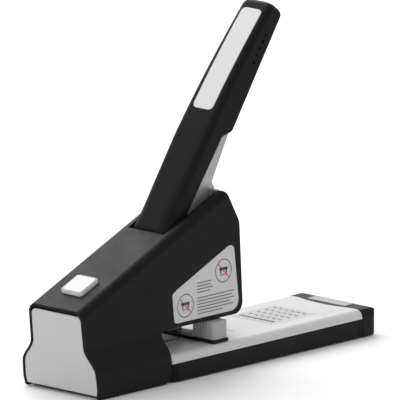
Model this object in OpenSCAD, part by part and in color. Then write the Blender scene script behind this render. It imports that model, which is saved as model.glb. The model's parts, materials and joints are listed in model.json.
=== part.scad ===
// Long reach desk stapler: a long flat base, a fixed wedge-shaped housing over its rear half,
// and a tall pressing lever.  X runs forward, Y to the left, Z up, in millimetres.
// The origin is under the middle of the whole object, on the surface that it stands on.

/* [Base] */
// Length of the base
base_len = 300; // [290:1:320]
// Width of the base
base_w = 78; // [76:1:82]
// Height of the top plate over the table
plate_z = 21.5; // [21:0.5:23]
// Height of the seam between the lower tray and the top plate
seam_z = 14.6; // [13:0.2:16]
// Length of the end cap along the middle line
cap_len = 21.5; // [21:0.5:26]
// Height of the rubber feet under the tray
foot_h = 1.2; // [1:0.1:2]

/* [Housing] */
// Height of the rear top edge
rear_top_z = 66.7; // [66.5:0.1:68]
// How far the rear top edge overhangs the base
rear_overhang = 13.5; // [8:0.5:16]
// Rise of the sloping top, in degrees
slope_deg = 23.3; // [23:0.1:24]
// Where the sloping top ends, measured from the rear of the base
crest_x = 145.5; // [144.5:0.5:146.5]
// Height of the underside of the housing, the top of the throat
throat_top_z = 38.6; // [38.4:0.2:40]
// Where the throat begins, measured from the rear of the base
throat_x = 72.5; // [70:0.5:73]
// Half the housing width just over the shoulder
waist_half_w = 28; // [27:0.1:28.4]
// Wall thickness of the housing
wall = 2; // [1.8:0.1:2.2]

/* [Lever] */
// Angle of the raised lever above the table
lever_deg = 54; // [53:0.5:55]
// Length of the lever grip
lever_len = 197; // [192:0.5:200]
// Width of the lever grip at its foot
lever_foot_w = 34; // [33:0.2:35]
// Width of the lever grip at its tip
lever_tip_w = 29.6; // [28:0.2:31]

/* [Magazine] */
// Width of the staples
staple_w = 13; // [12:0.1:13]
// Length of the strip of staples in the magazine
strip_len = 30; // [10:1:34]

/* [Hidden] */
$fn = 48;

mid_x = (base_len - rear_overhang) / 2;
half_w = base_w / 2;
far = 400;

// Housing
slope = tan(slope_deg);
function top_z(x) = rear_top_z + slope * (x + rear_overhang);
crest_z = top_z(crest_x);
chin = [crest_x + 14.2, crest_z - 26.5];
lip = [crest_x + 16.7, throat_top_z];
slot_x = 85.5;
inner_half_w = waist_half_w - 2 - wall;
opening_half_w = 12;
notch_half_w = 11.6;
slot_half_w = 18.2;

// Lever: a point on its upper face, its direction, and the points that it turns about
lever_foot = [90.4, 110];
lever_dir = [cos(lever_deg), sin(lever_deg)];
lever_normal = [-sin(lever_deg), cos(lever_deg)];
pivot = [128, 113];
crank = [147.8, 119.8];
pivot_r = 4;
roller_r = 3.8;
roller_pin_r = 2;
running_gap = 0.05;
channel_half_w = 10.8;
steel = 2;
function on_lever(p) = [(p - lever_foot) * lever_dir, (p - lever_foot) * lever_normal];

// Head, magazine and driver
plate_y = 17;
head_half_w = 10.8;
head_floor_z = 36;
nose_x = 151.6;
strip_top_z = 52;
guide_pin_r = 2.4;
guide_pin_z = 60;
guide_pin_xs = [56, 108];
spacer_spots = [[18, 50], [84, 82]];
head_travel = 10.6;
plunger_top_z = crank[1] - roller_r - 0.3;

// Paper guide
guide_x = 122;
guide_len = 16.5;
guide_half_w = 35;
guide_slot_w = 6;

// ---- Helpers ----

function unit(v) = v / norm(v);

// Points that round the corner at b, on the way from a to c, with radius r
function corner(a, b, c, r) =
    let (
        u = unit(a - b),
        v = unit(c - b),
        half = acos(u * v) / 2,
        centre = b + unit(u + v) * r / sin(half),
        from = b + u * r / tan(half) - centre,
        to = b + v * r / tan(half) - centre,
        start = atan2(from[1], from[0]),
        turn = atan2(from[0] * to[1] - from[1] * to[0], from * to),
        steps = max(2, ceil(abs(turn) / 9))
    )
    [for (i = [0:steps]) centre + r * [cos(start + turn * i / steps), sin(start + turn * i / steps)]];

// An outline with each corner rounded by its own radius; a corner is [x, y, radius]
function rounded(corners) =
    let (n = len(corners), p = [for (c = corners) [c[0], c[1]]])
    [
        for (i = [0:n - 1])
            if (corners[i][2] == 0) p[i]
            else each corner(p[(i + n - 1) % n], p[i], p[(i + 1) % n], corners[i][2])
    ];

// A rectangle in plan, rounded at its four corners
function rounded_rect(x0, x1, half, r) =
    rounded([[x0, -half, r], [x1, -half, r], [x1, half, r], [x0, half, r]]);

// Stations along X are measured from the rear edge of the base
module from_rear() {
    translate([-mid_x, 0, 0]) children();
}

// A side view outline (X, Z) made y1 - y0 thick
module side_view(y0, y1) {
    translate([0, y1, 0]) rotate([90, 0, 0]) linear_extrude(y1 - y0) children();
}

// A rear view outline (Y, Z) run from x0 to x1
module rear_view(x0, x1) {
    translate([x0, 0, 0]) rotate([90, 0, 90]) linear_extrude(x1 - x0) children();
}

module both_sides() {
    children();
    mirror([0, 1, 0]) children();
}

// A flat bar with round ends between two points of a side view
module bar_2d(a, b, width) {
    along = b - a;
    translate(a) circle(width / 2);
    translate(b) circle(width / 2);
    translate(a) rotate(atan2(along[1], along[0])) translate([0, -width / 2]) square([norm(along), width]);
}

module cross_pin(at, r, y0, y1) {
    translate([at[0], y1, at[1]]) rotate([90, 0, 0]) cylinder(h = y1 - y0, r = r);
}

module on_slope(x) {
    translate([x, 0, top_z(x)]) rotate([0, -slope_deg, 0]) children();
}

module lever_frame() {
    translate([lever_foot[0], 0, lever_foot[1]]) rotate([0, -lever_deg, 0]) children();
}

// A coil spring standing on Z, swept from five-sided rings
module coil(r, wire_r, height, turns) {
    steps = 10 * turns;
    sides = 5;
    rings = [
        for (i = [0:steps], k = [0:sides - 1])
            let (a = 360 * turns * i / steps, b = 360 * k / sides, d = r + wire_r * cos(b))
            [d * cos(a), d * sin(a), wire_r + (height - 2 * wire_r) * i / steps + wire_r * sin(b)]
    ];
    bands = [
        for (i = [0:steps - 1], k = [0:sides - 1])
            let (a = i * sides + k, b = i * sides + (k + 1) % sides)
            each [[a, a + sides, b + sides], [a, b + sides, b]]
    ];
    first = [for (k = [0:sides - 1]) k];
    last = [for (k = [0:sides - 1]) steps * sides + sides - 1 - k];
    polyhedron(rings, concat([first], bands, [last]), convexity = 10);
}

module screw(head_r, shank_r, shank_len) {
    difference() {
        cylinder(h = 1.6, r = head_r);
        translate([0, 0, -0.1]) cylinder(h = 1, r = head_r * 0.45, $fn = 6);
    }
    translate([0, 0, 1.5]) cylinder(h = shank_len, r = shank_r);
}

// ---- Base ----

tray_rear_x = -2;
neck_half_w = 34.6;
front_corner_r = 7.5;
foot_spots = [[26, 24], [base_len - 24, 24]];
base_screw_spots = [for (x = [40, 60], y = [-22, 22]) [x, y]];
cap_seam_x = base_len - 17.4;
cap_groove_xs = [cap_seam_x - 4.6, cap_seam_x - 0.6];

module tray_plan(inset) {
    polygon(rounded_rect(tray_rear_x + inset, throat_x + 20, neck_half_w - inset, 4));
    polygon(rounded_rect(throat_x + 1 + inset, base_len - inset, half_w - inset, front_corner_r - inset));
}

module base_tray() {
    color("#1b1b1b") from_rear() difference() {
        translate([0, 0, foot_h]) linear_extrude(seam_z - foot_h) tray_plan(0);
        translate([0, 0, -1]) linear_extrude(seam_z - 1.6) tray_plan(2.4);
        translate([guide_x - 44, -guide_slot_w / 2 - 6, seam_z - 5]) cube([76, guide_slot_w + 12, 10]);
        for (p = base_screw_spots) translate([p[0], p[1], 0]) cylinder(h = 30, r = 2);
        for (x = boss_xs, y = [-boss_y, boss_y]) translate([x, y, 0]) cylinder(h = 30, r = 2);
        // Two upright grooves where the end cap begins
        for (x = cap_groove_xs, side = [-1, 1]) translate([x, side * half_w - 0.5, 0]) cube([0.6, 1, far]);
    }
    color("#1b1b1b") from_rear() {
        // Pads inside the hollow tray that the feet are glued to
        for (p = foot_spots, side = [-1, 1])
            translate([p[0], side * p[1], foot_h]) cylinder(h = seam_z - foot_h - 1.5, r = 8);
    }
}

// Rear view section of the top plate: flat top, rolled sides
module plate_section(inset, bottom_z) {
    roll = 6;
    half = half_w - 0.3 - inset;
    top = plate_z - inset;
    polygon(rounded([[-half, bottom_z, 0], [half, bottom_z, 0], [half, top, roll], [-half, top, roll]]));
}

// The end cap meets the plate along an arc, and along a straight seam near the sides
module cap_region(gap) {
    translate([base_len - cap_len + 90, 0, 0]) cylinder(h = 60, r = 90 - gap, $fn = 96);
    translate([cap_seam_x + gap, -60, 0]) cube([60, 120, 60]);
}

module base_plate() {
    neck_len = throat_x + 4 - tray_rear_x;
    color("#f0f0f0") from_rear() difference() {
        union() {
            rear_view(throat_x + 1, base_len - 6) plate_section(0, seam_z + 0.1);
            translate([tray_rear_x + 2, -neck_half_w + 1.6, seam_z + 0.1])
                cube([neck_len, 2 * neck_half_w - 3.2, plate_z - seam_z - 0.1]);
        }
        rear_view(throat_x + 2.6, base_len) plate_section(1.5, 0);
        translate([tray_rear_x + 3.5, -neck_half_w + 3.1, 0])
            cube([neck_len, 2 * neck_half_w - 6.2, plate_z - 1.5]);
        cap_region(-0.1);
        translate([guide_x - 42, -guide_slot_w / 2, 0]) cube([66, guide_slot_w, 60]);
        translate([guide_x - 42, 0, 0]) cylinder(h = 60, r = guide_slot_w / 2);
        translate([145.8, -10.2, 0]) cube([13.4, 20.4, 60]);
        for (p = base_screw_spots) translate([p[0], p[1], 0]) cylinder(h = 60, r = 1.8);
        for (x = boss_xs, y = [-boss_y, boss_y]) translate([x, y, 0]) cylinder(h = 60, r = 1.8);
    }
}

module front_cap() {
    color("#1b1b1b") from_rear() difference() {
        intersection() {
            rear_view(200, base_len) plate_section(-0.3, seam_z + 0.1);
            linear_extrude(60) polygon(rounded_rect(0, base_len, half_w, front_corner_r));
            side_view(-far, far)
                polygon(rounded([[0, 0, 0], [base_len, 0, 0], [base_len, plate_z, 6], [0, plate_z, 0]]));
            cap_region(0);
        }
        intersection() {
            rear_view(200, base_len - 2) plate_section(1.7, 0);
            linear_extrude(60) polygon(rounded_rect(0, base_len - 2, half_w - 2, front_corner_r - 2));
            cap_region(4);
        }
        translate([base_len - 16.6, -19.4, plate_z - 0.5]) cube([9.9, 38.8, 5]);
    }
}

module cap_nameplate() {
    color("#c9c9c6") from_rear() translate([0, 0, plate_z - 0.5])
        linear_extrude(0.8) polygon(rounded_rect(base_len - 16.5, base_len - 6.8, 19.3, 0.8));
}

module size_chart() {
    color("#dddddd") from_rear() translate([0, 0, plate_z])
        linear_extrude(0.15) polygon(rounded_rect(201, 250, 22, 1));
}

module anvil_plate() {
    color("#b9bcc0") from_rear() difference() {
        translate([0, 0, seam_z + 0.1]) {
            translate([146, -10, 0]) cube([13, 20, plate_z - seam_z + 0.5]);
            translate([144.5, -14, 0]) cube([16, 28, 2]);
        }
        // Two curved grooves that turn the staple legs in
        for (side = [-1, 1]) translate([150.4, side * 3.6, plate_z + 2.6])
            rotate([90, 0, 90]) cylinder(h = 1.6, r = 3.4);
        for (side = [-1, 1]) translate([157, side * 12, 0]) cylinder(h = 60, r = 1.2);
    }
}

module anvil_rivets() {
    color("#8d9094") from_rear() for (side = [-1, 1]) translate([157, side * 12, seam_z + 0.2]) {
        cylinder(h = 2.4, r = 1.2);
        translate([0, 0, 1.95]) cylinder(h = 0.8, r = 1.9);
    }
}

module rubber_feet() {
    color("#2a2a2a") from_rear() for (p = foot_spots, side = [-1, 1])
        translate([p[0], side * p[1], 0]) cylinder(h = foot_h, r = 7);
}

module base_screws() {
    color("#9a9da1") from_rear() for (p = base_screw_spots)
        translate([p[0], p[1], seam_z - 4.2]) screw(3.4, 1.7, plate_z - seam_z + 4);
}

// ---- Chassis inside the housing ----

module chassis_floor() {
    color("#8f9296") from_rear() difference() {
        translate([8, -26, plate_z]) cube([60, 52, steel]);
        for (p = base_screw_spots) translate([p[0], p[1], 0]) cylinder(h = 60, r = 1.8);
    }
}

module side_plate() {
    floor_z = plate_z + steel;
    top_z = 119.5;
    slot_r = guide_pin_r + running_gap;
    side_view(plate_y, plate_y + steel) difference() {
        polygon(rounded([
            [10, floor_z, 0], [68, floor_z, 2], [68, 44, 3], [154, 44, 4], [154, 96, 5],
            [140, top_z, 4], [118, top_z, 4], [104, 101, 6], [10, 66, 3]
        ]));
        translate(pivot) circle(pivot_r);
        // Slots that the head's guide pins slide down
        for (x = guide_pin_xs) bar_2d([x, guide_pin_z], [x, guide_pin_z - head_travel - 0.2], 2 * slot_r);
        for (p = spacer_spots) translate(p) circle(2);
    }
}

module left_side_plate() {
    color("#8f9296") from_rear() side_plate();
}

module right_side_plate() {
    color("#8f9296") from_rear() mirror([0, 1, 0]) side_plate();
}

// Stepped spacers riveted between the two side plates
module chassis_spacers() {
    color("#a5a8ac") from_rear() for (p = spacer_spots) {
        cross_pin(p, 3.5, -plate_y, plate_y);
        cross_pin(p, 2, -plate_y - steel - 0.8, plate_y + steel + 0.8);
    }
}

module lever_pivot_pin() {
    color("#b9bcc0") from_rear() difference() {
        cross_pin(pivot, pivot_r, -plate_y - 4, plate_y + 4);
        for (side = [-1, 1]) translate([0, side * (plate_y + steel + 0.9), 0]) difference() {
            cross_pin(pivot, pivot_r + 1, -0.45, 0.45);
            cross_pin(pivot, pivot_r - 0.8, -0.5, 0.5);
        }
    }
}

module pivot_clips() {
    color("#77797c") from_rear() for (side = [-1, 1])
        translate([0, side * (plate_y + steel + 0.9), 0]) difference() {
            cross_pin(pivot, pivot_r + 2, -0.4, 0.4);
            cross_pin(pivot, pivot_r - 0.8, -0.5, 0.5);
            translate([pivot[0] - 1.6, -2, pivot[1] - 10]) cube([3.2, 4, 10]);
        }
}

module pivot_bushes() {
    color("#e6e2d6") from_rear() both_sides() difference() {
        cross_pin(pivot, pivot_r + 2.5, channel_half_w + 0.4, plate_y - 0.05);
        cross_pin(pivot, pivot_r, 0, far);
    }
}

module head_return_spring() {
    color("#a9acb0") from_rear() translate([33.5, 0, plate_z + steel])
        coil(5, 0.8, 33.5, 7);
}

module button_bracket() {
    color("#8f9296") from_rear() difference() {
        intersection() {
            on_slope(14) translate([-8, -plate_y + 0.1, -17.6]) cube([22, 2 * plate_y - 0.2, 1.6]);
            translate([10, -far, 0]) cube([far, 2 * far, far]);
        }
        on_slope(14) translate([0, 0, -20]) cylinder(h = 10, r = 3.4);
    }
}

// ---- Housing ----

// Half width of the outside at a given height: a curved skirt, a shoulder, then drafted walls
shoulder_low_z = 19.5;
shoulder_z = 39;
skirt_half_w = half_w - 0.4;
draft = 0.02;
function draft_half_w(z) = waist_half_w - (z - shoulder_z) * draft;
function shoulder_half_w(z) =
    let (turn = 180 * (z - shoulder_low_z) / (shoulder_z - shoulder_low_z))
    waist_half_w + (skirt_half_w - waist_half_w) * (1 + cos(turn)) / 2;

// Right side of the rear view, from the bottom up
function housing_side(inset) = concat(
    [[half_w - 1.6 - inset, -1], [half_w - 1.2 - inset, 1.5], [half_w - inset, 8], [half_w - inset, 12]],
    [
        for (i = [0:10])
            let (z = shoulder_low_z + (shoulder_z - shoulder_low_z) * i / 10)
            [shoulder_half_w(z) - inset, z]
    ],
    [[draft_half_w(150) - inset, 150]]
);
function housing_profile(inset) =
    let (side = housing_side(inset), n = len(side))
    concat(side, [for (i = [n - 1:-1:0]) [-side[i][0], side[i][1]]]);

skirt_z = 0.6;
boss_xs = [14, 60];
boss_y = 29;
rear_foot_x = -6;
roof_edge_r = 7;

// What is cut away to round the two long edges of the sloping roof
module roof_edge_cut(inset) {
    r = roof_edge_r - inset;
    over = 0.05;
    centre = [over - r * (1 - draft), over - r];
    arc = [for (a = [0:9:90]) centre + r * [cos(a), sin(a)]];
    rear_edge = [-rear_overhang, draft_half_w(rear_top_z) - inset, rear_top_z - inset / cos(slope_deg)];
    both_sides() translate(rear_edge)
        rotate([0, -slope_deg, 0]) rotate([0, 0, -atan(draft * sin(slope_deg))]) rear_view(-30, 230)
            polygon(concat(arc, [[centre[0], 6], [8, 6], [8, centre[1]]]));
}

module housing_outline() {
    polygon(rounded([
        [rear_foot_x, skirt_z, 2], [throat_x, skirt_z, 6], [throat_x, throat_top_z, 3], [lip[0], lip[1], 9],
        [chin[0], chin[1], 12], [crest_x, crest_z, 4], [-rear_overhang, rear_top_z, 2.5]
    ]));
}

module housing_shell() {
    roof = wall / cos(slope_deg);
    color("#262626") from_rear() difference() {
        intersection() {
            side_view(-60, 60) housing_outline();
            rear_view(-40, far) polygon(housing_profile(0));
        }
        roof_edge_cut(0);
        // The hollow inside, open at the rear, below and in front
        difference() {
            intersection() {
                side_view(-60, 60) polygon([
                    [-50, -5], [throat_x - wall, -5], [throat_x - wall, throat_top_z - 0.6],
                    [far, throat_top_z - 0.6], [far, far], [crest_x - 4, far],
                    [crest_x - 4, top_z(crest_x - 4) - roof], [-50, top_z(-50) - roof]
                ]);
                rear_view(-60, far) polygon(housing_profile(wall));
            }
            roof_edge_cut(wall);
        }
        // Ways through the back of the throat for the base and for the head
        translate([60, -neck_half_w - 0.4, -1]) cube([20, 2 * neck_half_w + 0.8, plate_z + 1.3]);
        translate([60, -opening_half_w, 10]) cube([20, 2 * opening_half_w, 40]);
        // Slot that the lever stands in
        translate([slot_x, -slot_half_w, throat_top_z + 20]) cube([far, 2 * slot_half_w, far]);
        // Hole for the release button
        on_slope(14) translate([0, 0, -10]) linear_extrude(30) polygon(rounded_rect(-11.3, 11.3, 11.3, 3.3));
    }
    // Screw bosses under the shoulder
    color("#262626") from_rear() both_sides() difference() {
        intersection() {
            for (x = boss_xs) translate([x, boss_y, plate_z + 0.05]) cylinder(h = 12, r = 2.8);
            rear_view(0, 80) polygon(housing_profile(0.4));
        }
        for (x = boss_xs) translate([x, boss_y, 0]) cylinder(h = 29, r = 1.45);
    }
}

// Bell shaped panel that closes the rear
module rear_panel() {
    low_z = 3.2;
    high_z = rear_top_z - 3.6;
    gap = wall + 0.2;
    thickness = 2.2;
    lean = rear_overhang + rear_foot_x;
    function rear_x(z) = rear_foot_x - lean * (z - skirt_z) / (rear_top_z - skirt_z) + 0.5;
    right = concat(
        [for (p = housing_side(gap)) if (p[1] < high_z) [p[0], p[1], 0]],
        [[draft_half_w(high_z) - gap, high_z, roof_edge_r - gap]]
    );
    left = [for (i = [len(right) - 1:-1:0]) [-right[i][0], right[i][1], right[i][2]]];
    color("#d0d0d0") from_rear() intersection() {
        side_view(-60, 60) polygon([
            [rear_x(low_z), low_z], [rear_x(low_z) + thickness, low_z],
            [rear_x(high_z + 1) + thickness, high_z + 1], [rear_x(high_z + 1), high_z + 1]
        ]);
        rear_view(-40, 20) polygon(rounded(concat(right, left)));
    }
}

module front_cover() {
    depth = 2.2;
    color("#9a9a9a") from_rear() difference() {
        intersection() {
            side_view(-inner_half_w + 0.2, inner_half_w - 0.2) polygon(rounded([
                [crest_x - 0.6, crest_z - 0.6, 0], [chin[0] - 0.6, chin[1], 12],
                [lip[0] - 0.6, lip[1] + 1, 9], [lip[0] - 14, lip[1] + 1, 0], [lip[0] - 14, lip[1] + 1 + depth, 0],
                [lip[0] - 0.6 - depth, lip[1] + 1 + depth, 7], [chin[0] - 0.6 - depth, chin[1] - 0.8, 10],
                [crest_x - 0.6 - depth, crest_z - 1.6, 0]
            ]));
            rear_view(100, far) polygon(housing_profile(wall + 0.2));
        }
        roof_edge_cut(wall + 0.2);
        // Notch that the lever channel swings through, and the mouth that the magazine slides out of
        translate([100, -notch_half_w, 108]) cube([80, 2 * notch_half_w, 60]);
        translate([140, -opening_half_w, 30]) cube([40, 2 * opening_half_w, 39]);
    }
}

// Driven up through the base into the housing's bosses
module housing_screws() {
    color("#3a3a3a") from_rear() both_sides() for (x = boss_xs)
        translate([x, boss_y, seam_z - 4.2]) screw(2.8, 1.45, 16.5);
}

module info_label() {
    color("#ececea") from_rear() intersection() {
        side_view(-60, 0) polygon(rounded([
            [87, 42, 3], [157.9, 42, 8], [152.8, 92, 4], [147, 92, 5], [90, 67.5, 4], [85, 64.5, 3]
        ]));
        rear_view(60, 180) polygon([
            [-draft_half_w(40), 40], [-draft_half_w(40) - 0.2, 40], [-draft_half_w(100) - 0.2, 100],
            [-draft_half_w(100), 100]
        ]);
    }
}

// ---- Lever ----

grip_top_n = 3.9;
grip_low_n = -12;
grip_wall = 2.4;
bend_from = 80;

// Height of the grip's upper face over the lever's line: straight at first, then dropping in a curve
function grip_top(s) = grip_top_n - pow(max(0, s - bend_from), 2) / 2000;
function top_line(from, to, drop) =
    [for (i = [0:10]) let (s = from + (to - from) * i / 10) [s, grip_top(s) - drop]];
function grip_half_w(s) =
    (lever_foot_w - (lever_foot_w - lever_tip_w) * max(0, s - bend_from) / (lever_len - bend_from)) / 2;

module grip_side() {
    polygon(rounded(concat(
        [[-1.1, grip_top_n, 1.5], [bend_from, grip_top_n, 0]],
        [for (s = [92:12:184]) [s, grip_top(s), 0]],
        [
            [lever_len, grip_top(lever_len), 3], [lever_len, grip_low_n - 5.4, 5], [96, grip_low_n - 7.6, 5],
            [87, grip_low_n, 5], [-0.4, grip_low_n, 1], [-7.1, -0.45, 1]
        ]
    )));
}

// Plan of the grip seen square to its upper face
module grip_plan(inset) {
    foot = lever_foot_w / 2 - inset;
    tip = lever_tip_w / 2 - inset;
    end = lever_len + 0.2 - inset;
    r = 6 - inset / 2;
    polygon(rounded([
        [-12, -foot, 0], [bend_from, -foot, 2000], [end, -tip, r], [end, tip, r], [bend_from, foot, 2000],
        [-12, foot, 0]
    ]));
}

inlay_from = 100.5;
inlay_to = lever_len - 8.5;
inlay_half_w = 10;
inlay_depth = 1;

// The inlay's outline, from a depth under the upper face to a height over it
module inlay_body(gap, high) {
    low_line = top_line(inlay_from - 5, inlay_to + 5, inlay_depth);
    intersection() {
        side_view(-20, 20)
            polygon(concat(low_line, [for (i = [10:-1:0]) low_line[i] + [0, inlay_depth + high]]));
        translate([0, 0, -50]) linear_extrude(100)
            polygon(rounded_rect(inlay_from - gap, inlay_to + gap, inlay_half_w + gap, 4));
    }
}

grip_screw_spots = [110, 140];
boss_low_n = -2.6;

module lever_grip() {
    color("#2b2b2b") from_rear() lever_frame() difference() {
        union() {
            difference() {
                intersection() {
                    side_view(-40, 40) grip_side();
                    translate([0, 0, -50]) linear_extrude(100) grip_plan(0);
                }
                // Hollow underneath
                intersection() {
                    side_view(-40, 40) polygon(concat(
                        [[2.2, -60]], top_line(2.2, lever_len - grip_wall, grip_wall),
                        [[lever_len - grip_wall, -60]]
                    ));
                    translate([0, 0, -100]) linear_extrude(200) grip_plan(grip_wall);
                }
            }
            for (s = grip_screw_spots) translate([s, 0, boss_low_n])
                cylinder(h = grip_top(s) - inlay_depth - 0.2 - boss_low_n, r = 4);
        }
        // Room for the end of the channel
        translate([0.4, -channel_half_w - 0.4, -50]) cube([6, 2 * channel_half_w + 0.8, 50 + boss_low_n]);
        inlay_body(0.35, 5);
        for (s = grip_screw_spots) translate([s, 0, -10]) cylinder(h = 9.4, r = 1.5);
        // Finger grooves low on each side
        for (i = [0:4], side = [-1, 1])
            let (s = 149.6 + 5.8 * i, h = 3.6 - 0.45 * i)
            translate([s, side * (grip_half_w(s) + 0.8), -10.3 - h / 2]) cylinder(h = h, r = 1.7);
    }
}

module grip_inlay() {
    color("#eeeeee") from_rear() lever_frame() inlay_body(0, 0.3);
}

module lever_channel() {
    hub = on_lever(pivot);
    tip = on_lever(crank);
    color("#a3a5a8") from_rear() lever_frame() difference() {
        union() {
            both_sides() side_view(channel_half_w - steel, channel_half_w) difference() {
                union() {
                    polygon(rounded([
                        [1, -2.8, 0], [150, -2.8, 0], [150, -15, 2], [93, -22.8, 5], [56, -28.2, 1],
                        [54, -33.5, 2], [hub[0] + 4, hub[1] - 5, 3], [hub[0] - 6, hub[1] - 3, 3], [1, -18, 3]
                    ]));
                    translate(hub) circle(8);
                    bar_2d(hub, tip, 9);
                }
                translate(hub) circle(pivot_r + running_gap);
                translate(tip) circle(roller_pin_r);
            }
            translate([1, -channel_half_w, -4.4]) cube([149, 2 * channel_half_w, 1.6]);
        }
        for (s = grip_screw_spots) translate([s, 0, -20]) cylinder(h = 20, r = 1.5);
    }
}

module grip_screws() {
    color("#77797c") from_rear() lever_frame() for (s = grip_screw_spots) {
        translate([s, 0, -6]) difference() {
            cylinder(h = 1.6, r = 3);
            translate([0, 0, -0.1]) cylinder(h = 1, r = 1.3, $fn = 6);
        }
        translate([s, 0, -4.6]) cylinder(h = 3.4, r = 1.45);
    }
}

module roller_pin() {
    color("#77797c") from_rear() {
        cross_pin(crank, roller_pin_r, -channel_half_w - 0.4, channel_half_w + 0.4);
        both_sides() cross_pin(crank, roller_pin_r + 0.8, channel_half_w, channel_half_w + 0.4);
    }
}

module press_roller() {
    color("#c4c6c9") from_rear() difference() {
        cross_pin(crank, roller_r, -channel_half_w + steel + 0.5, channel_half_w - steel - 0.5);
        cross_pin(crank, roller_pin_r + running_gap, -far, far);
    }
}

// ---- Head: slides down between the side plates ----

module head_frame() {
    inner = head_half_w - steel;
    color("#96999d") from_rear() difference() {
        union() {
            both_sides() side_view(inner, head_half_w) polygon(rounded([
                [40, head_floor_z, 2], [142, head_floor_z, 2], [144, head_floor_z - 1.8, 0],
                [nose_x, head_floor_z - 1.8, 1], [nose_x, 92, 4], [134, 92, 4],
                [134, 66, 6], [40, 66, 3]
            ]));
            translate([40, -head_half_w, head_floor_z]) cube([105, 2 * head_half_w, 1.2]);
            // Bridge over the magazine, with a tongue at the rear that rests on the return spring
            translate([27.5, -inner - 1, 57.2]) cube([88, 2 * inner + 2, 1.6]);
            // Seat of the driver's spring
            translate([140.5, -inner - 1, 61.4]) cube([8.5, 2 * inner + 2, 1.6]);
        }
        both_sides() for (x = guide_pin_xs) cross_pin([x, guide_pin_z], 1.6, 0, far);
        cross_pin([128, 61], 2, -far, far);
    }
}

module head_guide_pins() {
    color("#c4c6c9") from_rear() both_sides() for (x = guide_pin_xs) {
        cross_pin([x, guide_pin_z], 1.6, head_half_w - steel - 0.6, head_half_w + 0.1);
        cross_pin([x, guide_pin_z], guide_pin_r, head_half_w, plate_y + steel - 0.3);
    }
}

module head_cross_pin() {
    color("#77797c") from_rear() {
        cross_pin([128, 61], 2, -head_half_w - 1, head_half_w + 1);
        both_sides() cross_pin([128, 61], 3, head_half_w, head_half_w + 1);
    }
}

// ---- Driver ----

module driver_plunger() {
    color("#7f8286") from_rear() difference() {
        union() {
            translate([141, -7.8, 74]) cube([8.5, 15.6, plunger_top_z - 74]);
            translate([140, -7.8, plunger_top_z - 6]) cube([nose_x - 139.6, 15.6, 6]);
        }
        translate([145, 0, 70]) cylinder(h = 27.2, r = 2.6);
        for (z = [80, 86]) translate([130, 0, z]) rotate([0, 90, 0]) cylinder(h = 30, r = 1.3);
    }
}

module driver_blade() {
    color("#c4c6c9") from_rear() difference() {
        translate([149.6, -staple_w / 2 + 0.1, strip_top_z + 3.3])
            cube([1.2, staple_w - 0.2, plunger_top_z - strip_top_z - 10]);
        for (z = [80, 86]) translate([130, 0, z]) rotate([0, 90, 0]) cylinder(h = 30, r = 1.3);
    }
}

module driver_rivets() {
    color("#8d9094") from_rear() for (z = [80, 86]) translate([148.2, 0, z]) rotate([0, 90, 0]) {
        cylinder(h = 2.6, r = 1.2);
        translate([0, 0, 2.61]) cylinder(h = 0.5, r = 2);
    }
}

module driver_spring() {
    color("#a9acb0") from_rear() translate([145, 0, 63]) coil(1.9, 0.35, 34, 9);
}

// ---- Magazine: slides out through the front ----

tray_floor_z = 37.6;
tray_half_w = 8.2;
tray_rear = 48;
rod_z = 45;
rod_r = 1.2;

module magazine_tray() {
    inner = tray_half_w - 1.2;
    color("#a5a8ac") from_rear() {
        translate([tray_rear, -tray_half_w, tray_floor_z]) cube([98, 2 * tray_half_w, 1.2]);
        both_sides() side_view(inner, tray_half_w) polygon(rounded([
            [tray_rear, tray_floor_z, 0], [nose_x, tray_floor_z, 0], [nose_x, strip_top_z + 1.6, 2],
            [tray_rear, strip_top_z + 1.6, 4]
        ]));
        translate([tray_rear, -inner - 0.1, tray_floor_z + 1]) cube([1.6, 2 * inner + 0.2, 12.5]);
    }
}

// Inner rail that the staples ride on
module magazine_core() {
    color("#8f9296") from_rear() difference() {
        translate([tray_rear + 1.6, -5.2, tray_floor_z + 1.2]) cube([97.4, 10.4, 12.1]);
        translate([tray_rear + 4, -3.9, tray_floor_z + 1]) cube([93, 7.8, 14]);
        translate([tray_rear, 0, rod_z]) rotate([0, 90, 0]) cylinder(h = 105, r = rod_r);
    }
}

module magazine_front() {
    face_x = lip[0] - 0.9;
    color("#1f1f1f") from_rear() difference() {
        side_view(-11.4, 11.4) polygon(rounded([
            [nose_x + 0.1, head_floor_z - 1.6, 0], [face_x - 3, head_floor_z - 1.6, 3], [face_x, 42, 3],
            [face_x - 1, 66.5, 2], [nose_x + 0.1, 66.5, 0]
        ]));
        // Finger pull
        translate([face_x - 2.4, 0, 60]) rotate([0, 90, 0]) cylinder(h = 6, r = 5);
        translate([nose_x - 2, -6.6, 30]) cube([3.4, 13.2, 40]);
    }
}

module staple_strip() {
    rear_x = 149.4 - strip_len;
    color("#c8cacd") from_rear() difference() {
        translate([rear_x, -staple_w / 2, tray_floor_z + 1.4])
            cube([strip_len, staple_w, strip_top_z - tray_floor_z - 1.4]);
        translate([rear_x - 1, -staple_w / 2 + 0.9, 0])
            cube([strip_len + 2, staple_w - 1.8, strip_top_z - 0.8]);
        // Fine grooves between one staple and the next
        for (i = [1:floor(strip_len / 2.4) - 1])
            translate([rear_x + 2.4 * i, -far / 2, strip_top_z - 0.15]) cube([0.2, far, 1]);
    }
}

module staple_pusher() {
    front_x = 149.2 - strip_len;
    color("#7f8286") from_rear() difference() {
        translate([front_x - 12, -staple_w / 2, tray_floor_z + 1.6]) cube([12, staple_w, 13]);
        translate([front_x - 13, -5.4, 0]) cube([14, 10.8, strip_top_z - 0.9]);
    }
    color("#7f8286") from_rear() difference() {
        translate([front_x - 8, -3.2, tray_floor_z + 2.2]) cube([6, 6.4, strip_top_z - tray_floor_z - 3]);
        translate([front_x - 20, 0, rod_z]) rotate([0, 90, 0]) cylinder(h = 40, r = rod_r + running_gap);
    }
}

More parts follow.
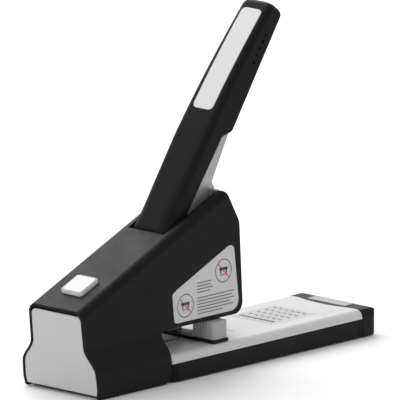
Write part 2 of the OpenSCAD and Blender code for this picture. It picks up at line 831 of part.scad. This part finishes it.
module pusher_rod() {
    color("#b9bcc0") from_rear() {
        translate([tray_rear + 1.6, 0, rod_z]) rotate([0, 90, 0]) cylinder(h = 97.4, r = rod_r);
    }
}

module pusher_spring() {
    start = tray_rear + 4.2;
    color("#a9acb0") from_rear() translate([start, 0, rod_z]) rotate([0, 90, 0])
        coil(2.1, 0.35, 141 - strip_len - start, 14);
}

// ---- Release button ----

module release_button() {
    color("#f2f2f2") from_rear() on_slope(14) {
        translate([0, 0, -3.5]) linear_extrude(5.5) polygon(rounded_rect(-11, 11, 11, 3));
        translate([0, 0, 1.9]) linear_extrude(0.5) polygon(rounded_rect(-10.6, 10.6, 10.6, 2.8));
        translate([0, 0, 2.3]) linear_extrude(0.5) polygon(rounded_rect(-9.8, 9.8, 9.8, 2.4));
        translate([0, 0, -3.5]) linear_extrude(1) polygon(rounded_rect(-12.4, 12.4, 12.4, 3));
    }
}

module button_stem() {
    color("#8f9296") from_rear() on_slope(14) {
        translate([0, 0, -18.5]) cylinder(h = 15, r = 3);
    }
}

module button_spring() {
    color("#a9acb0") from_rear() on_slope(14) translate([0, 0, -16]) coil(4.4, 0.5, 12.4, 5);
}

// ---- Paper guide ----

module guide_plate() {
    color("#1b1b1b") from_rear() difference() {
        translate([guide_x, -guide_half_w, plate_z + 0.1]) cube([guide_len, 2 * guide_half_w, 2.5]);
        for (y = [-8, 8]) translate([guide_x + guide_len / 2, y, 0]) {
            cylinder(h = 60, r = 1.2);
            translate([0, 0, plate_z + 2.1]) cylinder(h = 5, r = 2);
        }
    }
}

module guide_block() {
    x0 = guide_x + 1.4;
    x1 = guide_x + guide_len - 0.6;
    z0 = plate_z + 2.6;
    difference() {
        translate([0, 0, z0]) linear_extrude(37.9 - z0) polygon(rounded([
            [x0, 12, 1], [x1, 12, 1], [x1, guide_half_w - 1, 0.8], [x0, guide_half_w - 1, 3]
        ]));
        // Upright finger ridges on the rear face
        for (i = [0:5]) translate([x0 - 0.6, 17 + 2.6 * i, z0 + 1]) cube([1.2, 1.2, 40]);
    }
}

module left_guide_block() {
    color("#a8a8a8") from_rear() guide_block();
}

module right_guide_block() {
    color("#a8a8a8") from_rear() mirror([0, 1, 0]) guide_block();
}

// Runs in the slot of the base plate and clamps the guide to it
module guide_shoe() {
    color("#5f6164") from_rear() {
        translate([guide_x + 1.5, -guide_slot_w / 2 + 0.3, plate_z - 2.4])
            cube([guide_len - 3, guide_slot_w - 0.6, 2.5]);
        translate([guide_x + 1.5, -8.5, plate_z - 4.4]) cube([guide_len - 3, 17, 2.4]);
    }
}

module guide_rivets() {
    color("#8d9094") from_rear() for (y = [-8, 8]) {
        translate([guide_x + guide_len / 2, y, plate_z + 0.1]) cylinder(h = 2.1, r = 1.2);
        translate([guide_x + guide_len / 2, y, plate_z + 2.1]) cylinder(h = 0.5, r = 2);
    }
}

base_tray();
base_plate();
front_cap();
cap_nameplate();
size_chart();
anvil_plate();
anvil_rivets();
rubber_feet();
base_screws();
chassis_floor();
left_side_plate();
right_side_plate();
chassis_spacers();
housing_shell();
rear_panel();
front_cover();
housing_screws();
info_label();
lever_pivot_pin();
pivot_clips();
pivot_bushes();
head_return_spring();
button_bracket();
lever_channel();
lever_grip();
grip_inlay();
grip_screws();
roller_pin();
press_roller();
head_frame();
head_guide_pins();
head_cross_pin();
driver_plunger();
driver_blade();
driver_rivets();
driver_spring();
magazine_tray();
magazine_core();
magazine_front();
staple_strip();
staple_pusher();
pusher_rod();
pusher_spring();
release_button();
button_stem();
button_spring();
guide_plate();
left_guide_block();
right_guide_block();
guide_shoe();
guide_rivets();
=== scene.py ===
"""Long reach stapler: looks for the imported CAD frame.

X runs forward along the base, Y to the left, Z up, as in the frame.  Sizes are in millimetres,
turned to metres where a point or a bevel is made.  Most visible pieces are finished copies of CAD
nodes: welded, cleaned, edge-rounded and smoothed.  The lever's grip is lofted here instead, and the
printed marks on the label and on the base are flat pieces of their own.
"""

import json
import math

import bmesh
import bpy
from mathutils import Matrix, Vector


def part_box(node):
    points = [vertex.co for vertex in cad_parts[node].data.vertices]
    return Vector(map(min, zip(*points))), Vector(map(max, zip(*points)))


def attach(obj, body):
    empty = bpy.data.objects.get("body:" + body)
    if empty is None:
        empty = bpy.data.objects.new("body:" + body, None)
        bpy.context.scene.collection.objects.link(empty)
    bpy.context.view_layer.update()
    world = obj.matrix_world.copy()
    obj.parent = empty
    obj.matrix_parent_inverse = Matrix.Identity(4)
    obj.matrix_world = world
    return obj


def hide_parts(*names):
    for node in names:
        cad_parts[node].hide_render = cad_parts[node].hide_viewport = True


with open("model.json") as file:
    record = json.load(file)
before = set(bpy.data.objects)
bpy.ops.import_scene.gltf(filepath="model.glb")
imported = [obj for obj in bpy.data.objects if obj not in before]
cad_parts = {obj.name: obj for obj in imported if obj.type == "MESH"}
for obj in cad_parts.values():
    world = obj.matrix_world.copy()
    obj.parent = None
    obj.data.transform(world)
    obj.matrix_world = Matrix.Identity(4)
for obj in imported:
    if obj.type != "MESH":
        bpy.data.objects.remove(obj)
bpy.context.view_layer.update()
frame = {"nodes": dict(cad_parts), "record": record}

MM = 0.001
NODES = frame["nodes"]
BODY_OF = {
    node: body
    for body, members in frame["record"]["behaviour"]["bodies"].items()
    for node in members
}
SLOT_OF = {s["node"]: s["material_slot"] for s in frame["record"]["subparts"]}
SCENE = bpy.context.scene

# The rear edge of the base, from which the stations along X are counted
REAR_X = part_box("front_cap")[1].x - 0.300


# ---------------------------------------------------------------- materials

class Shader:
    """A material's node tree, with short calls for the nodes that the finishes share."""

    def __init__(self, name):
        self.material = bpy.data.materials.new(name)
        self.material.use_nodes = True
        self.tree = self.material.node_tree
        self.bsdf = self.tree.nodes["Principled BSDF"]
        self.coords = self.tree.nodes.new("ShaderNodeTexCoord").outputs["Object"]

    def put(self, socket, value):
        """Links a node output to a socket, or sets a constant on it."""
        if isinstance(value, bpy.types.NodeSocket):
            self.tree.links.new(value, socket)
        else:
            socket.default_value = value

    def math(self, operation, a, b):
        made = self.tree.nodes.new("ShaderNodeMath")
        made.operation = operation
        self.put(made.inputs[0], a)
        self.put(made.inputs[1], b)
        return made.outputs[0]

    def noise(self, scale, detail=2.0, roughness=0.5, stretch=(1, 1, 1)):
        mapping = self.tree.nodes.new("ShaderNodeMapping")
        self.put(mapping.inputs["Vector"], self.coords)
        mapping.inputs["Scale"].default_value = stretch
        made = self.tree.nodes.new("ShaderNodeTexNoise")
        self.put(made.inputs["Vector"], mapping.outputs[0])
        made.inputs["Scale"].default_value = scale
        made.inputs["Detail"].default_value = detail
        made.inputs["Roughness"].default_value = roughness
        return made.outputs["Fac"]

    def span(self, value, low, high, to_low, to_high):
        made = self.tree.nodes.new("ShaderNodeMapRange")
        for socket, v in zip(made.inputs, (value, low, high, to_low, to_high)):
            self.put(socket, v)
        return made.outputs[0]

    def blend(self, factor, a, b):
        made = self.tree.nodes.new("ShaderNodeMix")
        made.data_type = "RGBA"
        self.put(made.inputs["Factor"], factor)
        self.put(made.inputs[6], (*a, 1) if isinstance(a, tuple) else a)
        self.put(made.inputs[7], (*b, 1) if isinstance(b, tuple) else b)
        return made.outputs[2]

    def bump(self, height, strength, distance):
        made = self.tree.nodes.new("ShaderNodeBump")
        made.inputs["Strength"].default_value = strength
        made.inputs["Distance"].default_value = distance
        self.put(made.inputs["Height"], height)
        self.put(self.bsdf.inputs["Normal"], made.outputs[0])

    def worn_edges(self, low=0.52, high=0.62):
        """1 on sharp convex edges, broken up by noise; 0 elsewhere."""
        pointy = self.tree.nodes.new("ShaderNodeNewGeometry").outputs["Pointiness"]
        edge = self.span(pointy, low, high, 0.0, 1.0)
        return self.math("MULTIPLY", edge, self.span(self.noise(220, 3), 0.4, 0.62, 0.15, 1.0))


def moulded(name, colour, rough, grain=2600, depth=0.25, spread=0.16, worn=0.25, shine=0.4):
    """Spark-eroded moulded plastic: fine pitted grain, faint flow marks, polished edges."""
    s = Shader(name)
    flow = s.noise(26, 4, 0.55, (1, 1, 2.2))
    light = tuple(min(1, c * (1 + spread)) for c in colour)
    dark = tuple(c * (1 - spread) for c in colour)
    body = s.blend(s.span(flow, 0.3, 0.7, 0, 1), dark, light)
    scuffed = tuple(min(1, c * 1.5 + 0.012) for c in colour)
    rubbed = s.math("MULTIPLY", s.worn_edges(), worn)
    s.put(s.bsdf.inputs["Base Color"], s.blend(rubbed, body, scuffed))
    fine = s.noise(grain, 3, 0.6)
    rub = s.noise(60, 5, 0.6)
    s.put(s.bsdf.inputs["Roughness"], s.span(rub, 0.25, 0.75, rough - 0.06, rough + 0.08))
    s.bump(s.math("ADD", fine, s.math("MULTIPLY", s.noise(90, 2), 0.6)), depth, 0.00006)
    s.bsdf.inputs["IOR"].default_value = 1.5
    s.bsdf.inputs["Specular IOR Level"].default_value = shine
    return s


def enamelled(name, colour, rough=0.32):
    """Powder-coated sheet steel: soft orange peel, a little grime in the roughness."""
    s = Shader(name)
    tone = s.noise(18, 3)
    s.put(
        s.bsdf.inputs["Base Color"],
        s.blend(s.span(tone, 0.3, 0.7, 0, 1), tuple(c * 0.975 for c in colour), colour),
    )
    s.put(s.bsdf.inputs["Roughness"], s.span(s.noise(70, 4), 0.3, 0.7, rough - 0.05, rough + 0.09))
    s.bump(s.noise(900, 2), 0.12, 0.00005)
    return s


def metal(name, colour, rough, along=(0.04, 1, 1), grain=3000, stain=0.2, metallic=1.0):
    """Rolled or ground steel: fine lines one way, cloudy zinc, rubbed edges."""
    s = Shader(name)
    s.bsdf.inputs["Metallic"].default_value = metallic
    lines = s.noise(grain, 4, 0.7, along)
    cloud = s.noise(45, 5, 0.6)
    dull = tuple(c * (1 - stain) for c in colour)
    body = s.blend(s.span(cloud, 0.3, 0.7, 0, 1), dull, colour)
    bright = tuple(min(1, c * 1.2) for c in colour)
    s.put(s.bsdf.inputs["Base Color"], s.blend(s.worn_edges(), body, bright))
    both = s.math("ADD", s.math("MULTIPLY", lines, 0.6), s.math("MULTIPLY", cloud, 0.4))
    s.put(s.bsdf.inputs["Roughness"], s.span(both, 0.3, 0.7, rough - 0.08, rough + 0.12))
    s.bump(lines, 0.2, 0.00004)
    return s


def rubber(name):
    """Dusty black rubber with an open grain."""
    s = Shader(name)
    tone = s.noise(140, 4)
    s.put(s.bsdf.inputs["Base Color"], s.blend(tone, (0.018, 0.018, 0.018), (0.045, 0.044, 0.043)))
    s.put(s.bsdf.inputs["Roughness"], s.span(s.noise(400, 3), 0.3, 0.7, 0.7, 0.92))
    s.bump(s.noise(1800, 3), 0.4, 0.0001)
    return s


BLACK = (0.0065, 0.0065, 0.0067)
FINISH = {
    "black_plastic": lambda n: moulded(n, BLACK, 0.44, shine=0.12),
    "grip_plastic": lambda n: moulded(n, BLACK, 0.46, grain=2200, depth=0.32, shine=0.12),
    "white_steel": lambda n: enamelled(n, (0.60, 0.60, 0.60)),
    "grey_panel": lambda n: moulded(n, (0.45,) * 3, 0.42, spread=0.02, depth=0.15, worn=0.1),
    "cover_grey": lambda n: moulded(n, (0.30,) * 3, 0.45, spread=0.04, worn=0.1),
    "white_plastic": lambda n: moulded(n, (0.66,) * 3, 0.36, spread=0.01, depth=0.1, worn=0.0),
    "guide_grey": lambda n: moulded(n, (0.36, 0.36, 0.365), 0.45, spread=0.04, worn=0.1),
    "nylon": lambda n: moulded(n, (0.72, 0.69, 0.6), 0.4, spread=0.03, worn=0.0),
    "screw_black": lambda n: metal(n, (0.05, 0.05, 0.052), 0.42),
    "nameplate": lambda n: metal(n, (0.34, 0.34, 0.335), 0.4, (1, 0.03, 1), 2400, metallic=0.6),
    "zinc_steel": lambda n: metal(n, (0.50, 0.505, 0.515), 0.45, metallic=0.55),
    "bright_steel": lambda n: metal(n, (0.66, 0.665, 0.68), 0.2, (1, 0.05, 1), stain=0.06),
    "spring_steel": lambda n: metal(n, (0.55, 0.555, 0.57), 0.28, (1, 1, 1)),
    "staple_wire": lambda n: metal(n, (0.64, 0.645, 0.66), 0.25, (0.05, 1, 1)),
    "rubber": rubber,
    "label_paper": lambda n: enamelled(n, (0.58, 0.58, 0.578), 0.4),
}
MATERIALS = {name: make(name).material for name, make in FINISH.items()}


# ---------------------------------------------------------------- finished copies of CAD nodes

def cleaned(node):
    """The node's mesh, welded, with the flat areas joined into single faces."""
    bm = bmesh.new()
    bm.from_mesh(NODES[node].data)
    bmesh.ops.remove_doubles(bm, verts=bm.verts, dist=2e-6)
    bmesh.ops.dissolve_limit(bm, angle_limit=math.radians(0.6), verts=bm.verts, edges=bm.edges)
    return bm


def keep(bm, name):
    """Puts the mesh in the scene, as an object of that name."""
    mesh = bpy.data.meshes.new(name)
    bm.to_mesh(mesh)
    bm.free()
    piece = bpy.data.objects.new(name, mesh)
    SCENE.collection.objects.link(piece)
    return piece


def dress(piece, body, node=None, slot=None, material=None):
    """Gives a piece its material (the one passed, else its slot's) and its body, in place of a node
    if one is named.
    """
    slot = slot or SLOT_OF[node]
    piece.data.materials.append(material or MATERIALS[slot])
    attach(piece, body)
    if node:
        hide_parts(node)
    return piece


def finished(node, radius):
    """A copy of the node with its edges rounded and its curved faces shaded smooth."""
    bm = cleaned(node)
    for face in bm.faces:
        face.smooth = True
    piece = keep(bm, f"{node}_finish")
    bevel = piece.modifiers.new("round", "BEVEL")
    bevel.limit_method = "ANGLE"
    bevel.angle_limit = math.radians(40)
    bevel.width = radius * MM
    bevel.segments = 3
    bevel.use_clamp_overlap = False
    piece.modifiers.new("flats", "WEIGHTED_NORMAL").keep_sharp = True
    return dress(piece, BODY_OF[node], node)


for _node, _object in NODES.items():
    _object.data.materials.clear()
    _object.data.materials.append(MATERIALS[SLOT_OF[_node]])

# Nodes that get a finished copy, with the radius of its edges (mm)
EDGE_RADIUS = {
    "base_plate": 0.2, "front_cap": 0.3, "cap_nameplate": 0.15, "base_tray": 0.3, "rear_panel": 0.5,
    "front_cover": 0.3, "grip_inlay": 0.25, "release_button": 0.45, "left_guide_block": 0.25,
    "right_guide_block": 0.25, "guide_plate": 0.3, "lever_channel": 0.25, "magazine_front": 0.3,
    "head_frame": 0.2, "magazine_tray": 0.15, "driver_plunger": 0.2, "left_side_plate": 0.2,
    "right_side_plate": 0.2, "rubber_feet": 0.3, "anvil_plate": 0.2, "pivot_bushes": 0.3,
    "housing_shell": 0.3,
}
for _node, _radius in EDGE_RADIUS.items():
    finished(_node, _radius)


# ---------------------------------------------------------------- lever grip

# The lever's own frame: s runs along it from its foot, n stands out of its upper face (mm)
LEVER_ANGLE = math.radians(54)
LEVER_FOOT = Vector((REAR_X + 0.0904, 0, 0.110))
LEVER_DIR = Vector((math.cos(LEVER_ANGLE), 0, math.sin(LEVER_ANGLE)))
LEVER_UP = Vector((-LEVER_DIR.z, 0, LEVER_DIR.x))
FOOT_TIP = (-7.1, -0.45)
GRIP_LEN = 197
GRIP_TOP = 3.9
GRIP_HALF_W = 17
GRIP_WALL = 2.4
# From here to the tip the grip narrows by TAPER on each side, and its top bends down
BEND_FROM = 80
TAPER = 2.2
# The recess for the inlay
INLAY_ENDS = (100.15, 188.85)
INLAY_HALF = 10.35
INLAY_DEPTH = 0.95
INLAY_CORNER = 4
# Tables of (s, n) for the underside, and of (s, radius) for the long upper edges
UNDERSIDE = (
    FOOT_TIP, (-0.4, -12), (86, -12), (88, -12.8), (94.5, -18.8), (97, -19.6), (GRIP_LEN, -17.4)
)
UPPER_EDGE = ((-7.1, 6), (10, 8.5), (70, 5), (GRIP_LEN, 4.6))
# Finger grooves: their number, the first one's place along s, their pitch and their height on the
# side, then the cutter's radius and the distance of its axis from the side
GROOVES, GROOVE_S, GROOVE_PITCH, GROOVE_N = 5, 149.6, 5.8, -10.3
CUTTER_R, CUTTER_OFF = 1.7, 0.8


def on_lever(s, y, n):
    """The point of the frame at (s, y, n) on the lever."""
    return LEVER_FOOT + (LEVER_DIR * s + LEVER_UP * n) * MM + Vector((0, y * MM, 0))


def ramp(x, points):
    """Straight-line reading of a table of (x, value)."""
    for (x0, v0), (x1, v1) in zip(points, points[1:]):
        if x <= x1:
            return v0 + (v1 - v0) * max(0, x - x0) / (x1 - x0)
    return points[-1][1]


def drop(gap, radius):
    """How far a rounded corner has fallen away at this gap from its end."""
    if gap >= radius:
        return 0.0
    return radius - math.sqrt(max(0, radius ** 2 - (radius - gap) ** 2))


def half_width(s):
    """Half the grip's width at s."""
    return GRIP_HALF_W - TAPER * max(0, s - BEND_FROM) / (GRIP_LEN - BEND_FROM)


def grip_section(s, recess, hollow):
    """Closed (y, n) outline of the grip at s: right side and top, left side, then the inside."""
    to_tip = GRIP_LEN - s
    if s < BEND_FROM:
        top = ramp(s, (FOOT_TIP, (-1.1, GRIP_TOP), (BEND_FROM, GRIP_TOP)))
    else:
        top = GRIP_TOP - (s - BEND_FROM) ** 2 / 2000
    low = ramp(s, UNDERSIDE) + drop(to_tip, 5)
    top -= drop(to_tip, 3.5)
    half = half_width(s) - drop(to_tip, 6)
    tall = max(0.1, top - low)
    r = min(ramp(s, UPPER_EDGE), tall * 0.7, half * 0.8)
    edge = min(0.6, tall * 0.2)
    right = [(half - edge, low), (half - 0.3 * edge, low + 0.3 * edge), (half, low + edge)]
    for i in range(9):
        a = math.pi / 2 * i / 8
        right.append((half - r + r * math.cos(a), top - r + r * math.sin(a)))
    in_inlay = min(s - INLAY_ENDS[0], INLAY_ENDS[1] - s)
    pocket = min(INLAY_HALF - drop(max(0, in_inlay), INLAY_CORNER), half - r - 0.1)
    depth = INLAY_DEPTH if recess else 0.0
    right += [(pocket + 0.05, top), (pocket, top - 0.1 * depth), (pocket, top - depth)]
    ceiling = top - GRIP_WALL if hollow else low
    inside = [(half - GRIP_WALL, ceiling), (half - GRIP_WALL, low)]
    if not hollow:
        inside = [(0.9 * (half - GRIP_WALL), low), (half - GRIP_WALL, low)]
    left = [(-y, n) for y, n in reversed(right)]
    return right + left + [(-y, n) for y, n in reversed(inside)] + inside


def join_rings(bm, rings):
    """Skins a row of rings of vertices into a closed body."""
    count = len(rings[0])
    for one, two in zip(rings, rings[1:]):
        for i in range(count):
            j = (i + 1) % count
            bm.faces.new((one[i], one[j], two[j], two[i]))
    bm.faces.new(rings[0][::-1])
    bm.faces.new(rings[-1])


def cut_finger_grooves(piece):
    """Short upright scoops low on each side, near the tip, each shorter than the last."""
    bm = bmesh.new()
    sides = 24
    turns = [2 * math.pi * k / sides for k in range(sides)]
    circle = [(CUTTER_R * math.cos(t), CUTTER_R * math.sin(t)) for t in turns]
    for i in range(GROOVES):
        s, tall = GROOVE_S + GROOVE_PITCH * i, 3.6 - 0.45 * i
        for side in (-1, 1):
            y = side * (half_width(s) + CUTTER_OFF)
            join_rings(bm, [
                [bm.verts.new(on_lever(s + ds, y + dy, n)) for ds, dy in circle]
                for n in (GROOVE_N - tall / 2, GROOVE_N + tall / 2)
            ])
    bmesh.ops.recalc_face_normals(bm, faces=bm.faces)
    cutter = keep(bm, "groove_cutter")
    cut = piece.modifiers.new("grooves", "BOOLEAN")
    cut.object = cutter
    cut.solver = "EXACT"
    shaped = piece.evaluated_get(bpy.context.evaluated_depsgraph_get())
    mesh = bpy.data.meshes.new_from_object(shaped)
    piece.modifiers.clear()
    piece.data = mesh
    bpy.data.objects.remove(cutter)


def grip_stops():
    """Places along the grip to take a section at, as (s, is the recess cut, is it hollow below)."""
    foot = (-7.1, -6.5, -5, -3, -1.5, -1.1, -0.4, 1, 2.19)
    neck = (2.2, 10, 20, 30, 45, 60, 72, 80, 83, 86, 87, 88, 91, 94.5, 95.5, 97)
    near_tip = (190, 191.5, 192.5, 193.5, 194.59)
    tip = (194.6, 195.4, 196, 196.5, 196.8, 196.95, GRIP_LEN)
    low, high = INLAY_ENDS
    corner = (0, 0.1, 0.4, 0.9, 1.6, 2.6, INLAY_CORNER)
    straight = high - low - 2 * INLAY_CORNER
    inlay = [low + d for d in corner]
    inlay += [low + INLAY_CORNER + straight * i / 14 for i in range(1, 14)]
    inlay += [high - d for d in reversed(corner)]
    return (
        [(s, False, False) for s in foot]
        + [(s, False, True) for s in (*neck, low - 0.01)]
        + [(s, True, True) for s in inlay]
        + [(s, False, True) for s in (high + 0.01, *near_tip)]
        + [(s, False, False) for s in tip]
    )


def lever_grip():
    """The black grip that wraps the lever's steel channel."""
    bm = bmesh.new()
    join_rings(bm, [
        [bm.verts.new(on_lever(s, y, n)) for y, n in grip_section(s, recess, hollow)]
        for s, recess, hollow in grip_stops()
    ])
    bmesh.ops.remove_doubles(bm, verts=bm.verts, dist=5e-6)
    bmesh.ops.recalc_face_normals(bm, faces=bm.faces)
    for face in bm.faces:
        face.smooth = True
    piece = keep(bm, "lever_grip_finish")
    cut_finger_grooves(piece)
    piece.data.set_sharp_from_angle(angle=math.radians(38))
    piece.modifiers.new("flats", "WEIGHTED_NORMAL").keep_sharp = True
    return dress(piece, "lever", "lever_grip")


lever_grip()


# ---------------------------------------------------------------- printed marks

def ink(name, colour):
    """Printed ink, a little thin in places."""
    s = Shader(name)
    patchy = s.noise(500, 3)
    thin = tuple(min(1, c * 1.15 + 0.01) for c in colour)
    s.put(s.bsdf.inputs["Base Color"], s.blend(patchy, colour, thin))
    s.put(s.bsdf.inputs["Roughness"], s.span(patchy, 0.3, 0.7, 0.4, 0.55))
    return s.material


INK = {
    "dark": ink("ink_dark", (0.03, 0.03, 0.03)),
    "grey": ink("ink_grey", (0.10, 0.10, 0.10)),
    "red": ink("ink_red", (0.55, 0.03, 0.03)),
}


def printed(name, faces, place, colour):
    """Flat ink: each face is a list of (a, b) points, put on the surface by place(a, b)."""
    bm = bmesh.new()
    for points in faces:
        bm.faces.new([bm.verts.new(place(a, b)) for a, b in points])
    return dress(keep(bm, name), "base", slot="label_paper", material=INK[colour])


def bar(a0, b0, a1, b1, width):
    """A straight stroke from one point to another."""
    length = math.hypot(a1 - a0, b1 - b0)
    u, v = (b1 - b0) / length * width / 2, -(a1 - a0) / length * width / 2
    return [(a0 - u, b0 - v), (a1 - u, b1 - v), (a1 + u, b1 + v), (a0 + u, b0 + v)]


def ring(a, b, radius, width):
    """A circular stroke round (a, b), inside the radius."""
    sides = 40
    turn = [2 * math.pi * i / sides for i in range(sides + 1)]
    inner = radius - width
    quads = [
        ((radius, t0), (radius, t1), (inner, t1), (inner, t0)) for t0, t1 in zip(turn, turn[1:])
    ]
    return [[(a + q * math.cos(t), b + q * math.sin(t)) for q, t in quad] for quad in quads]


# The housing's side: half its width at SIDE_Z, how far it leans in for each mm above that, and how
# far the ink stands off it.  Then the height of the base's top, and how far the ink is above it.
SIDE_HALF_W, SIDE_Z, SIDE_LEAN, SIDE_LIFT = 28, 39, 0.02, 0.24
PLATE_Z, PLATE_LIFT = 21.5, 0.18


def on_label(x, z):
    """A point on the label, which is on the right side of the housing."""
    half = SIDE_HALF_W - (z - SIDE_Z) * SIDE_LEAN + SIDE_LIFT
    return Vector((REAR_X + x * MM, -half * MM, z * MM))


def on_plate(x, y):
    """A point on the chart, or elsewhere on top of the base."""
    return Vector((REAR_X + x * MM, y * MM, (PLATE_Z + PLATE_LIFT) * MM))


# Two round symbols, each with a stroke across it
SYMBOLS = ((141, 74), (99, 54))
rings, strokes, shapes = [], [], []
for _x, _z in SYMBOLS:
    rings += ring(_x, _z, 9, 0.7)
    strokes.append(bar(_x - 6.2, _z + 6.2, _x + 6.2, _z - 6.2, 0.9))
    strokes.append(bar(_x - 4, _z - 3, _x + 4, _z - 3, 0.8))
    shapes.append(bar(_x - 4.5, _z + 1.5, _x + 4.5, _z + 1.5, 2.2))
    shapes += [bar(_x + d, _z - 2, _x + d, _z + 2, 1.4) for d in (-3, 3)]
printed("label_rings", rings, on_label, "dark")
printed("label_marks", strokes, on_label, "red")
printed("label_symbols", shapes, on_label, "dark")

# Plain bars in place of two blocks of print: each starts at TEXT_X, and ends where the list says
TEXT_X, TEXT_PITCH = 112, 2.4
TEXT_BLOCKS = ((69, (128, 127, 129, 126)), (57.5, (152, 150, 152, 147, 151, 140)))
printed("label_lines", [
    bar(TEXT_X, z0 - TEXT_PITCH * i, x1, z0 - TEXT_PITCH * i, 0.8)
    for z0, ends in TEXT_BLOCKS
    for i, x1 in enumerate(ends)
], on_label, "grey")

# The chart: a grid with a dark heading and a mark in every cell
COLUMNS = [203 + 9 * i for i in range(6)]
ROWS = [-18 + 6 * i for i in range(7)]
grid = [bar(COLUMNS[0], y, COLUMNS[-1], y, 0.45) for y in ROWS]
grid += [bar(x, -20, x, 20, 0.45) for x in COLUMNS]
printed("chart_grid", grid, on_plate, "grey")
printed("chart_heading", [bar(207.5, -17.6, 207.5, 17.6, 3.2)], on_plate, "dark")
printed("chart_entries", [
    bar(x + 4.5, y + 1, x + 4.5, y + 5, 2.4) for x in COLUMNS[1:-1] for y in ROWS[:-1]
], on_plate, "grey")
printed("middle_mark", [bar(165, -16, 165, -8, 0.7)], on_plate, "dark")


# ---------------------------------------------------------------- stage

def pale_floor():
    """A matt sheet, 60 m square, that the object stands on."""
    s = Shader("floor")
    tone = s.blend(s.noise(3, 2), (0.93, 0.93, 0.93), (0.95, 0.95, 0.95))
    s.put(s.bsdf.inputs["Base Color"], tone)
    s.put(s.bsdf.inputs["Roughness"], s.span(s.noise(8, 2), 0.3, 0.7, 0.55, 0.7))
    bm = bmesh.new()
    bmesh.ops.create_grid(bm, x_segments=1, y_segments=1, size=30)
    piece = keep(bm, "floor")
    piece.data.materials.append(s.material)


pale_floor()


def softbox(name, location, size, power):
    """A square soft light, aimed at the middle of the object."""
    light = bpy.data.lights.new(name, "AREA")
    light.shape = "RECTANGLE"
    light.size = light.size_y = size
    light.energy = power
    lamp = bpy.data.objects.new(name, light)
    SCENE.collection.objects.link(lamp)
    lamp.location = location
    aim = Vector((0, 0, 0.1)) - Vector(location)
    lamp.rotation_euler = aim.to_track_quat("-Z", "Y").to_euler()


world = bpy.data.worlds.new("studio")
SCENE.world = world
world.use_nodes = True
sky = world.node_tree.nodes["Background"]
sky.inputs["Color"].default_value = (1, 1, 1, 1)
sky.inputs["Strength"].default_value = 0.62
softbox("overhead", (0.45, 0.9, 1.15), 1.5, 20)
softbox("left", (-1.5, 0.1, 0.7), 1.0, 7)
SCENE.view_settings.view_transform = "Standard"

# Camera: the photograph's angle, from behind and to the right, through a long lens
AZIMUTH = math.radians(-46.8)
ELEVATION = math.radians(12.6)
LENS_MM = 1700
SENSOR_MM = 36
PICTURE_WIDTH = 400
PIXELS_PER_METRE = 1333
TARGET = Vector((REAR_X + 0.1446, 0, 0.1234))
camera = bpy.data.objects.new("camera", bpy.data.cameras.new("camera"))
SCENE.collection.objects.link(camera)
camera.data.lens = LENS_MM
camera.data.sensor_width = SENSOR_MM
back = Vector((
    math.sin(AZIMUTH) * math.cos(ELEVATION),
    -math.cos(AZIMUTH) * math.cos(ELEVATION),
    math.sin(ELEVATION),
))
distance = LENS_MM / SENSOR_MM * PICTURE_WIDTH / PIXELS_PER_METRE
camera.location = TARGET + back * distance
camera.rotation_euler = (-back).to_track_quat("-Z", "Y").to_euler()
camera.data.clip_end = 100
SCENE.camera = camera
